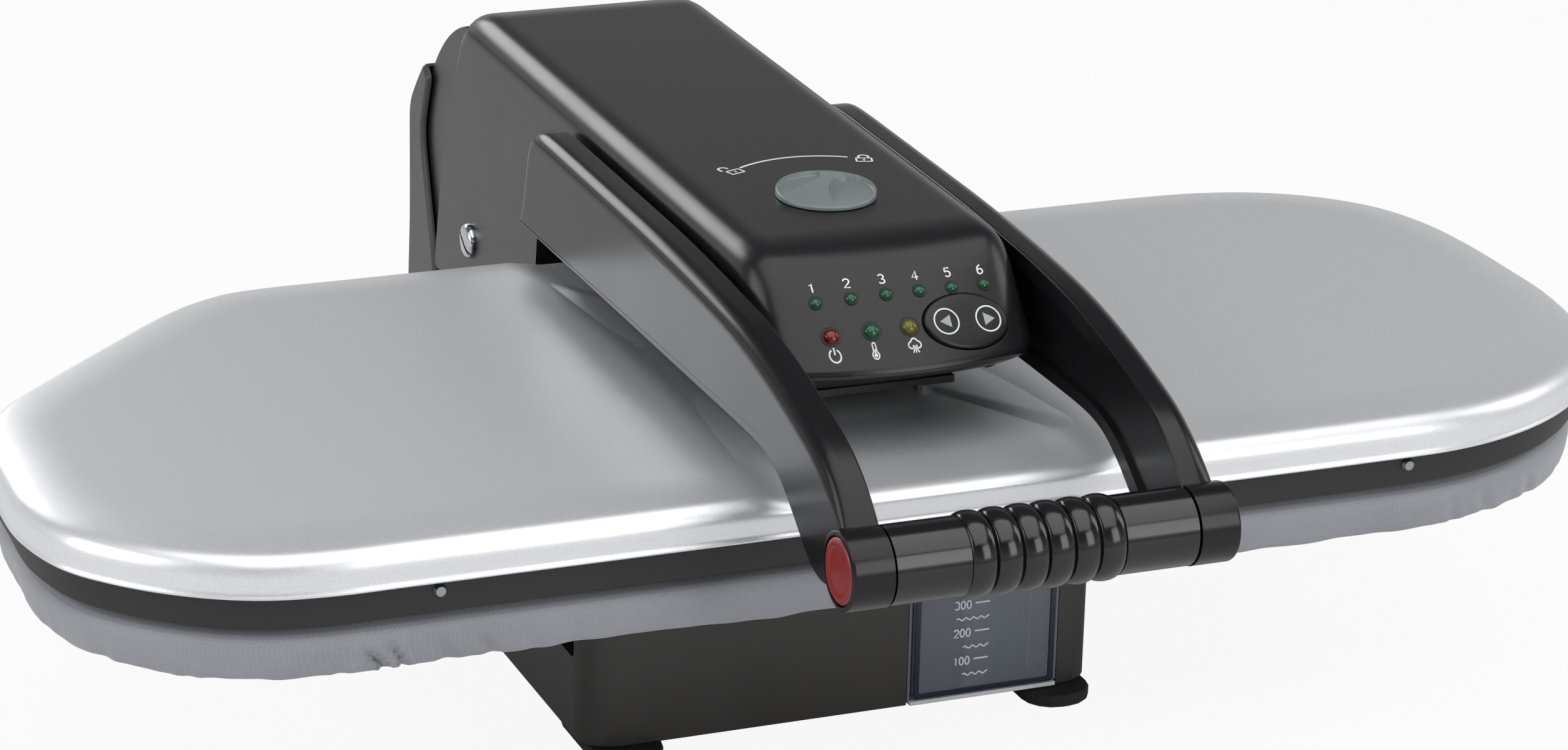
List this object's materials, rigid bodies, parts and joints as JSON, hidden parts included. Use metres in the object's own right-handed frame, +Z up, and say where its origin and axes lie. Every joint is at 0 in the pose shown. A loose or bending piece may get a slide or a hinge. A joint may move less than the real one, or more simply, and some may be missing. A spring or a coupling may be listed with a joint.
{
  "type": "steam ironing press",
  "caption": "Table-top steam ironing press with a padded board, a hinged heated plate, a hand lever, a lock knob, a control panel and a slide-out water tank.",
  "frame": {"origin": "on the floor under the middle of the bounding box", "axes": "+Z up, -Y towards the user, +X to the user's right along the board"},
  "size_m": [0.684, 0.6158, 0.2225],
  "materials": {
    "black_plastic": "fine grained black moulding",
    "charcoal_plastic": "satin dark grey moulding",
    "grey_plastic": "satin grey moulding",
    "red_plastic": "glossy red moulding",
    "clear_plastic": "clear moulding, faintly blue",
    "green_lens": "translucent green lens, unlit",
    "red_lens": "translucent red lens, unlit",
    "olive_lens": "translucent yellow lens, unlit",
    "circuit_board": "green laminate",
    "black_rubber": "matt",
    "bright_bolt": "bright plated",
    "steel": "zinc plated",
    "painted_tray": "black paint",
    "silver_paint": "matt silver paint",
    "cast_aluminium": "smooth cast",
    "silver_cloth": "metallised cotton cloth",
    "foam": "foam"
  },
  "bodies": {
    "base": {"base_shell": "black_plastic", "base_floor": "black_plastic", "foot_front_left": "black_rubber", "foot_front_right": "black_rubber", "foot_rear_left": "black_rubber", "foot_rear_right": "black_rubber", "tank_bay": "black_plastic", "tank_socket": "black_plastic", "water_pump": "steel", "pump_hose": "black_rubber", "cord_gland": "black_rubber", "rear_tower": "black_plastic", "hinge_bracket": "steel", "hinge_axle": "steel", "hinge_cap_left": "bright_bolt", "hinge_cap_right": "bright_bolt", "hinge_spring_left": "steel", "hinge_spring_right": "steel", "board_cover": "silver_cloth", "board_tray": "painted_tray", "board_pad": "foam"},
    "head": {"head_cover": "charcoal_plastic", "head_drum": "charcoal_plastic", "head_beam": "steel", "plate_hanger": "steel", "plate_cover": "silver_paint", "insulating_band": "black_plastic", "soleplate": "cast_aluminium", "heating_element": "steel", "thermostat": "steel", "steam_chamber": "cast_aluminium", "control_board": "circuit_board", "level_lights": "green_lens", "power_light": "red_lens", "ready_light": "green_lens", "steam_light": "olive_lens", "handle_pin_left": "steel", "handle_pin_right": "steel", "band_screw_front_left": "steel", "band_screw_front_right": "steel", "band_screw_rear_left": "steel", "band_screw_rear_right": "steel", "cover_post_front_left": "steel", "cover_post_front_right": "steel", "cover_post_rear_left": "steel", "cover_post_rear_right": "steel"},
    "handle": {"handle_arm_left": "charcoal_plastic", "handle_arm_right": "charcoal_plastic", "handle_grip": "charcoal_plastic", "grip_rod": "steel", "end_cap_left": "red_plastic", "end_cap_right": "red_plastic"},
    "knob": {"lock_knob": "grey_plastic", "lock_cam": "steel"},
    "tank": {"water_tank": "clear_plastic", "tank_plug": "black_rubber"},
    "rocker": {"set_rocker": "charcoal_plastic"}
  },
  "joints": [
    {"name": "head_hinge", "type": "hinge", "parent": "base", "child": "head", "pos_m": [0, 0.2, 0.115], "axis": [-1, 0, 0], "range_deg": [0, 40]},
    {"name": "handle_hinge", "type": "hinge", "parent": "head", "child": "handle", "pos_m": [0, 0.057, 0.186], "axis": [-1, 0, 0], "range_deg": [0, 25]},
    {"name": "knob_turn", "type": "hinge", "parent": "head", "child": "knob", "pos_m": [0, -0.085, 0.21856], "axis": [0, -0.015, 0.9999], "range_deg": [0, 70]},
    {"name": "tank_slide", "type": "slide", "parent": "base", "child": "tank", "axis": [0, -1, 0], "range_m": [0, 0.1]},
    {"name": "rocker_tip", "type": "hinge", "parent": "head", "child": "rocker", "pos_m": [0.02537, -0.16697, 0.18851], "axis": [0, 0.6645, 0.7473], "range_deg": [-3.5, 3.5], "stiffness_Nm_per_rad": 0.2}
  ]
}
